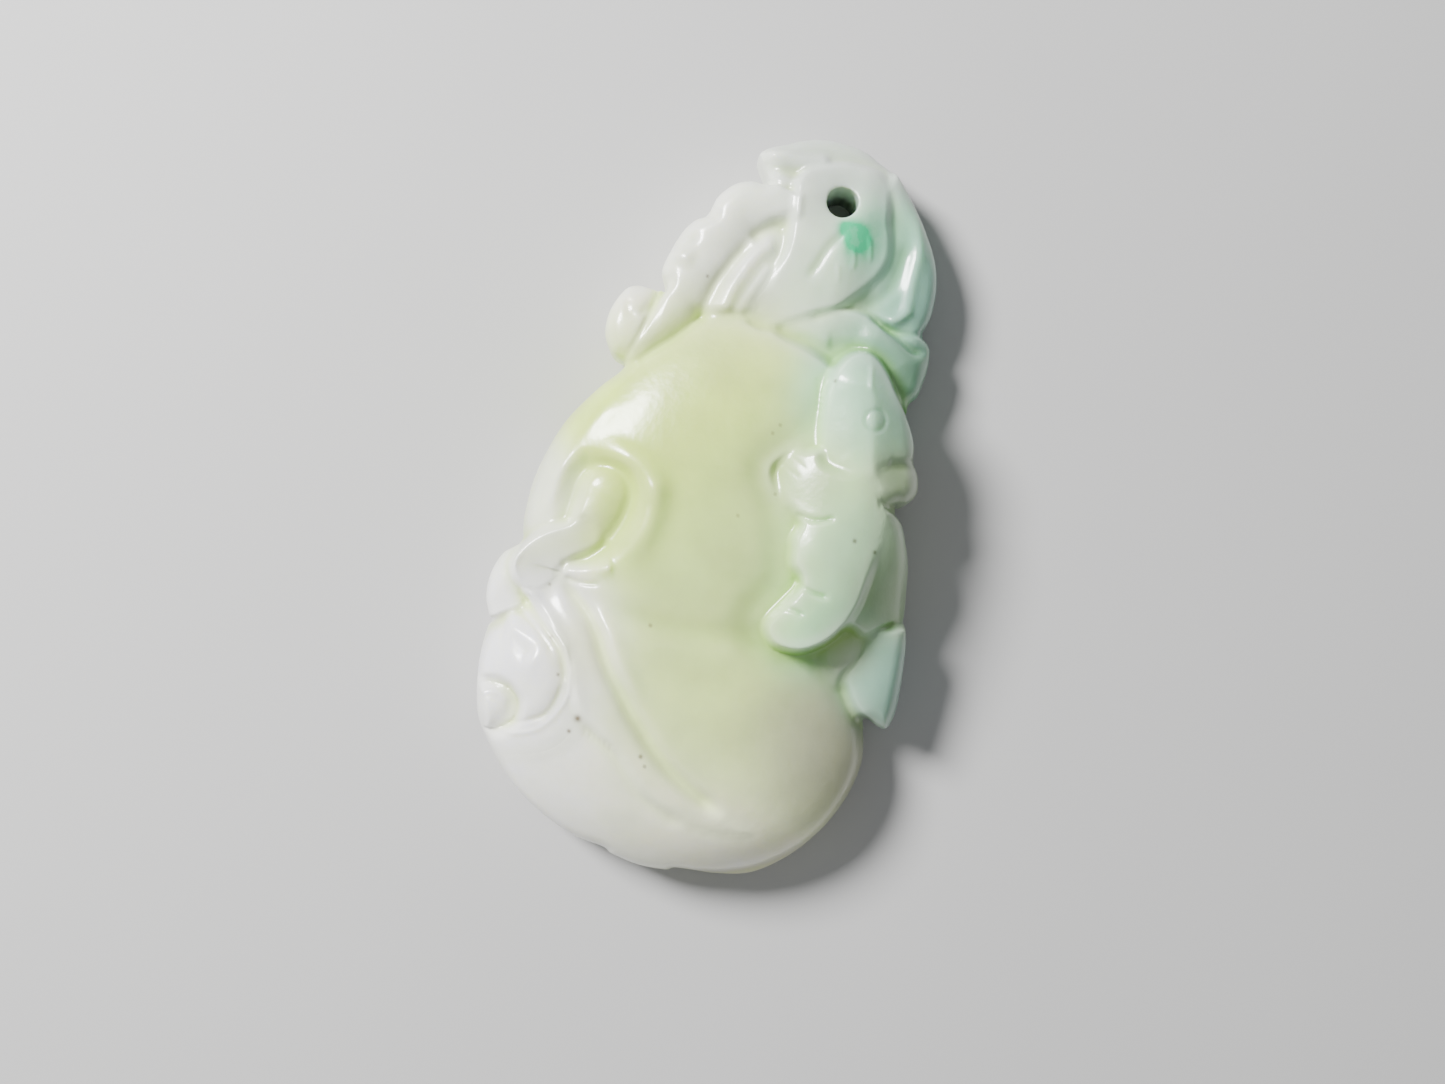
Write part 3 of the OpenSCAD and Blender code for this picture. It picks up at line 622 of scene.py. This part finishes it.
lay(FRONT_LEAF, front_leaf, 0.4)
line([(1.8, 18.2), (1.7, 17.6), (1.2, 16.7), (0.8, 15.4), (0.3, 14.2)], -0.16, 0.3, 0.25)
line([(-1.5, 19.6), (-1.3, 18.7), (-1.1, 17.6)], 0.15, 0.25, 0.3)
line([(2.6, 17.2), (2.9, 16.4), (3.0, 15.6)], 0.07, 0.14, 0.3)
line([(3.3, 18.2), (3.7, 17.4), (3.9, 16.4)], 0.07, 0.14, 0.3)
line([(1.9, 16), (2.2, 15.3), (2.4, 14.6)], 0.06, 0.14, 0.3)
spot(CORD_HOLE[0], CORD_HOLE[1], -0.35, 1.25)


# the ribbon: bud, strap and long tail
def bud(p):
    d, t, s = p.along([(-7.5, -1.7), (-7.7, -2.6), (-8.2, -3.6), (-8.9, -4.6)])
    return 6.5 - 0.2 * d * d - 0.2 * t


lay(BUD, bud, 0.6)


def tail(p):
    d, t, s = p.along([
        (-11.1, -8.4), (-9.8, -9.5), (-8.6, -10.4), (-7.2, -11.4), (-6.5, -12.4), (-6.0, -13.6),
        (-5.2, -15), (-4, -15.9), (-2.6, -16.7), (-1.6, -17.6), (-0.4, -18.5), (1.2, -19.1), (3, -19.6),
        (5, -19.7)])
    raised = fade(1, 0.4, t)
    return (soft_max(TOP[p.here] + 0.4, 5.7, 0.3) - 0.16 * d) * raised + (TOP[p.here] + 0.08) * (1 - raised)


def strap(p):
    d, t, s = p.along([
        (-7.9, -3.2), (-8.6, -3.9), (-9.3, -4.3), (-10.2, -4.9), (-11.1, -5.75), (-11.7, -6.7),
        (-11.7, -7.6), (-11.1, -8.5), (-10.4, -9.2), (-9.6, -9.8)])
    return 6.2 - 0.5 * t - np.where(s > 0, 0.07, 0.45) * d


lay(LOBE, lambda p: 4.5 - 0.18 * (p.X + 11.6) ** 2 - 0.06 * (p.Y + 8.6) ** 2, 0.4)
lay(TAIL, tail, 0.45)
lay(STRAP, strap, 0.4)
line([(-6.4, -4.6), (-7.2, -5.3), (-8.2, -6.1), (-9.1, -6.9)], -0.15, 0.35, 0.12)
line([(-8.9, -6.95), (-8.1, -6.8), (-7, -6.4), (-5.8, -5.9)], 0.3, 0.4, 0.12)
line([(-8.8, -7.2), (-8.2, -7.45), (-7.3, -7.4), (-6.2, -7.1)], -0.2, 0.16, 0.2)
line([(-9.1, -7.1), (-8.1, -8.1), (-7.2, -8.8), (-6.4, -9.4), (-5.6, -10.3), (-5, -11.2), (-4.2, -12.2),
      (-3.2, -13.2), (-2.3, -14.2), (-1.4, -15), (-0.5, -15.8), (1, -16.9), (3, -17.9), (5, -18.6)],
     -0.5, 0.5, 0.1)
line([(-7.4, -7.9), (-6.2, -8.7), (-5.1, -9.7), (-4.3, -10.9), (-3.2, -12.1), (-1.6, -13.6)],
     0.22, 0.6, 0.25)
line([(-5.2, -15.2), (-4, -16.1), (-2.6, -16.9), (-1.6, -17.8), (-0.4, -18.8), (1.2, -19.5), (3, -19.9)],
     -0.16, 0.5, 0.15)

line([(-11.2, -5.9), (-11.75, -6.8), (-11.8, -7.7), (-11.3, -8.45), (-10.2, -9.0), (-9.2, -9.6),
      (-8.3, -10.4), (-7.3, -11.4), (-6.7, -12.4)], 0.16, 0.3, 0.15)

# the ruyi scroll: a low cushion with incised rings, and a bead
lay(RUYI, lambda p: TOP[p.here] + 0.22, 0.9)
lay(CUSHION, lambda p: TOP[p.here] + 0.3 * fade(0, -1.5, p.edge(CUSHION)), 0.2)
spot(-9.3, -12.4, 0.5, 1.7, 1.6)
# a flat facet on the cushion
lay([(-11.2, -10.9), (-10.1, -11.1), (-9.0, -11.8), (-9.4, -13.1), (-10.6, -12.8)],
    lambda p: 6.3 + 0.4 * (p.X + 9.9) - 0.16 * (p.Y + 12), 0.5)
RING = [(-11.2, -8.8), (-9.8, -9.7), (-8.6, -10.5), (-7.3, -11.4), (-6.7, -12.4), (-6.35, -13.4),
        (-6.3, -14.3), (-6.6, -15.3), (-7.1, -16.2), (-7.8, -16.9), (-8.8, -17.4), (-9.8, -17.6),
        (-11, -17.7)]
line(RING, 0.13, 0.14, 0.05)
line([(x - 0.3, y - 0.25) for x, y in RING[:6]], -0.14, 0.2, 0.1)
line([(-6.9, -13.2), (-6.85, -14.2), (-7.2, -15.5), (-8.1, -16.3), (-9.2, -16.9), (-10, -17.2)],
     -0.16, 0.16, 0.15)
line([(-11.2, -10.2), (-9.7, -10.8), (-8.4, -11.6), (-7.8, -12.2)], -0.2, 0.16, 0.15)
line([(-11.3, -10.8), (-9.9, -11.5), (-9, -12.2), (-9.3, -13.6)], 0.12, 0.4, 0.25)
lay(BEAD, lambda p: np.minimum(p.dome(BEAD, -10.6, -16.3, 4.2, 5.4, 2.0), TOP[p.here] + 0.12), 0.8)
line([(-12.4, -15.2), (-11.6, -14.8), (-10.4, -14.6), (-9.4, -15)], -0.12, 0.22, 0.2)
line([(-11.9, -15.9), (-11.2, -15.5), (-10.4, -15.5), (-9.8, -16)], 0.1, 0.2, 0.2)

# the animal: lower parts first, then its back and head
lay([(7.4, -4.6), (10.2, -4.6), (10.6, -7), (10, -8.4), (9, -8.9), (7.6, -7.8)], 5.3, 0.8)
lay(RAT_TAIL, lambda p: 5.6 - 0.12 * (p.X - 11.2) ** 2 + 0.08 * (p.Y + 4), 0.45)


def haunch(p):
    out, far_out = np.clip(p.X - 6.6, 0, 9), np.clip(p.X - 9, 0, 9)
    return RAT_TOP - 0.1 * out**2 - 0.65 * fade(0.2, -3.6, p.Y) - 0.15 * far_out


def face(p):
    # a roof: its ridge runs from the snout over the brow to the neck
    d, t, s = p.along([
        (5.0, 11.8), (5.5, 10.2), (5.8, 9), (6.2, 7.9), (6.45, 7), (6.7, 6), (6.95, 5.2), (7.15, 4.45),
        (7.5, 3.8), (8.1, 3)])
    return RAT_TOP - np.where(s > 0, 0.68 * (np.sqrt(d * d + 0.09) - 0.3), 0.135 * d * d)


lay(HAUNCH, haunch, 0.4)
lay(FAR_PAW, lambda p: face(p) - 0.15 - 0.12 * (p.Y - 3.7) ** 2, 0.4)


def rat_back(p):
    right, left = np.clip(p.X - 6.6, 0, 9), np.clip(6.6 - p.X, 0, 9)
    h = RAT_TOP - 0.10 * right**2 - 0.09 * left**2 - 0.5 * fade(-3.4, -8.2, p.Y)
    # the fore paw, thigh and hind foot each swell a little
    return (h + p.bump(3.1, 2.4, 0.1, 1.2, 1.2) + p.bump(5.4, -1.4, 0.2, 1.4, 1.4)
            + p.bump(5.6, -5.8, 0.15, 1.4, 1.2))


lay(RAT_BACK, rat_back, 0.35)
lay(HEAD, lambda p: face(p) - 1.2 * fade(8.6, 11.6, p.Y), 0.45)
# under the jaw the neck drops to the far paw
line([(8.2, 4.9), (8.9, 4.9), (9.6, 5.1), (10.4, 5.4)], -0.08, 0.35, 0.15)
line([(5.6, 10.4), (5.8, 9.2), (6.1, 8.3)], 0.1, 0.16, 0.3)
# thin creases behind the fore leg, before the hind leg and between the toes
line([(3.7, 0.35), (4.6, 0.2), (5.4, 0.35), (6.2, 0.8)], -0.22, 0.16, 0.2)
line([(4.7, -3.3), (5.4, -3.8), (6.2, -4.0), (7.2, -3.95)], -0.22, 0.16, 0.2)
line([(4.2, -5.5), (5, -5.3), (6.1, -5.4)], -0.15, 0.14, 0.2)
line([(2.3, 3.7), (2.9, 3.4), (3.7, 3.0)], -0.025, 0.1, 0.2)
line([(2.0, 3.1), (2.6, 2.8), (3.5, 2.4)], -0.025, 0.1, 0.2)
p = Patch(5, 9, 5, 9.5)
ring = np.hypot(p.X - 6.75, p.Y - 6.95)
TOP[p.here] += 0.03 * bell(ring, 0.4) - 0.08 * bell(ring - 0.62, 0.14)
spot(0.8, -23.8, 0.4, 1.6, 0.5)

# marks left by the file, beside the animal's neck and under the ribbon's tail
for k in range(6):
    line([(2.6 + 0.12 * k, 8.6 - 0.35 * k), (3.1 + 0.12 * k, 8.4 - 0.35 * k)], -0.04, 0.11, 0.3)
    line([(-4.7 + 0.35 * k, -15.6 - 0.1 * k), (-4.6 + 0.35 * k, -16.4 - 0.1 * k)], -0.04, 0.11, 0.3)

# how far each place sinks below its surroundings; it drives the painted shade in hollows and the painted
# light on ridges
HOLLOW_SHADE = np.clip((blur(TOP, 0.7) - TOP) / 0.5, -1, 1.4)
stone_side = whole.edge(STONE)

# ---- the pieces: one for each motif, cut from the same carving ----

EDGE_R = 1.1        # rounding between the face and the stone's outer side
BACK_R = 1.0        # rounding between the outer side and the polished back
LAP = 2 * STEP      # how far a piece dives under its neighbour
PIECE_FLOOR = 0.06  # the motifs stop this far above the polished back
BODY_TOP = 2.2      # height of the thin body under them
BODY_INSET = 0.15   # how far the body's side stays inside the stone's
BODY_R = 0.8        # rounding of the body's upper edge


def stone_field(p, floor):
    top = TOP[p.here]
    gx, gy = np.gradient(top, STEP)
    lean = np.sqrt(1 + gx**2 + gy**2)[:, :, None]
    z = np.arange(-3, round((top[stone_side[p.here] < 0.5].max() + 0.5) / STEP) + 1) * STEP
    f = round_both(stone_side[p.here][:, :, None] + 0 * z, (z - top[:, :, None]) / lean, EDGE_R)
    return z, round_both(f, floor - z + 0 * f, BACK_R)


def bored(p, f):
    return np.maximum(f, (CORD_HOLE_R - np.hypot(p.X - CORD_HOLE[0], p.Y - CORD_HOLE[1]))[:, :, None])


# front to back: each motif is cut out of what the ones before it leave
MOTIFS = [
    ("rat_body", ["rat_head", "rat_trunk", "rat_forepaw", "rat_hind_leg"], "jade_green", [HEAD, RAT_BACK]),
    ("rat_far_paw", ["rat_far_paw"], "jade_green", [FAR_PAW]),
    ("rat_haunch", ["rat_haunch"], "jade_green", [HAUNCH]),
    ("rat_tail", ["rat_tail"], "jade_green", [RAT_TAIL]),
    ("ruyi_bead", ["ruyi_bead"], "jade_white", [BEAD]),
    ("ruyi_scroll", ["ruyi_scroll"], "jade_white", [RUYI]),
    ("ribbon_tail", ["ribbon_tail"], "jade_yellow", [TAIL]),
    ("ribbon_bend", ["ribbon_bend"], "jade_white", [STRAP]),
    ("ribbon_loop", ["ribbon_loop"], "jade_yellow", [BUD]),
    ("side_lobe", ["side_lobe"], "jade_white", [LOBE]),
    ("front_leaf", ["front_leaf"], "jade_pale", [FRONT_LEAF]),
    ("stem", ["stem"], "jade_pale", [STEM]),
    ("vine_curl", ["vine_curl"], "jade_pale", [CURL]),
    ("vine_scroll", ["vine_scroll"], "jade_lilac", [VINE]),
    ("crest_leaf", ["crest_leaf"], "jade_lilac", [CREST]),
    ("side_leaf_upper", ["side_leaf_upper"], "jade_green", [SIDE_UPPER]),
    ("side_leaf_lower", ["side_leaf_lower"], "jade_green", [SIDE_LOWER]),
    ("back_petal", ["back_petal"], "jade_lilac", [PETAL]),
]
taken = np.full(whole.X.shape, 1e9)
for name, nodes, slot, outlines in MOTIFS:
    p = Patch.around(sum(outlines, []), 1.2)
    mine = np.minimum.reduce([p.edge(o) for o in outlines])
    z, f = stone_field(p, PIECE_FLOOR)
    cut = np.maximum(mine - 0.5 * STEP, -taken[p.here])
    f = round_both(f, cut[:, :, None] - LAP + 0 * f, LAP)
    mesh_piece(name, p, z, bored(p, f), cut, nodes)
    taken[p.here] = np.minimum(taken[p.here], mine)

# the gourd is what is left of the face, on a thin body that runs the length of the stone and makes its back
z, f = stone_field(whole, 0.0)
f = round_both(f, -taken[:, :, None] - LAP + 0 * f, LAP)
low = z < BODY_TOP + 1
body_side = stone_side[:, :, None] + BODY_INSET + 0 * z[low]
body = round_both(body_side, z[low] - BODY_TOP + 0 * f[:, :, low], BODY_R)
f[:, :, low] = np.minimum(f[:, :, low], round_both(body, -z[low] + 0 * body, BACK_R))
mesh_piece("gourd", whole, z, bored(whole, f), -taken, ["gourd_upper", "gourd_lower"])


# ---- camera, floor and light ----

def plain(name, colour, roughness, grain, amount):
    m = bpy.data.materials.new(name)
    m.use_nodes = True
    n, links = m.node_tree.nodes, m.node_tree.links
    bsdf = n["Principled BSDF"]
    bsdf.inputs["Roughness"].default_value = roughness
    noise = n.new("ShaderNodeTexNoise")
    noise.inputs["Scale"].default_value = grain
    ramp = n.new("ShaderNodeMix")
    ramp.data_type = "RGBA"
    ramp.inputs["A"].default_value = (*colour, 1)
    ramp.inputs["B"].default_value = (*(c * amount for c in colour), 1)
    links.new(noise.outputs["Fac"], ramp.inputs["Factor"])
    links.new(ramp.outputs["Result"], bsdf.inputs["Base Color"])
    return m


bpy.ops.mesh.primitive_plane_add(size=1.6)
floor = bpy.context.object
floor.name = "floor"
floor.data.materials.append(plain("floor", (0.56, 0.555, 0.55), 0.8, 60, 0.94))


def lamp(name, size, power, place, aim=(0, 0, 0), colour=(1, 1, 1)):
    light = bpy.data.lights.new(name, "AREA")
    light.shape = "DISK"
    light.size = size
    light.energy = power
    light.color = colour
    obj = bpy.data.objects.new(name, light)
    obj.location = place
    away = np.array(place, float) - np.array(aim, float)
    away /= np.linalg.norm(away)
    obj.rotation_euler = (math.acos(away[2]), 0, math.atan2(away[1], away[0]) + math.pi / 2)
    bpy.context.scene.collection.objects.link(obj)


lamp("key", 0.09, 2.05, (-0.19, 0.075, 0.18))
lamp("fill", 0.4, 0.12, (0.16, -0.12, 0.26))

world = bpy.data.worlds.new("studio")
world.use_nodes = True
world.node_tree.nodes["Background"].inputs[0].default_value = (0.92, 0.96, 1, 1)
world.node_tree.nodes["Background"].inputs[1].default_value = 0.24
bpy.context.scene.world = world

cam = bpy.data.cameras.new("camera")
cam.lens = 35
cam.sensor_width = 36
cam.clip_start = 0.002
camera = bpy.data.objects.new("camera", cam)
camera.location = (CAMERA_AT[0] * MM, CAMERA_AT[1] * MM, CAMERA_AT[2] * MM)
camera.rotation_euler = (0, 0, math.radians(CAMERA_TURN))
bpy.context.scene.collection.objects.link(camera)
bpy.context.scene.camera = camera
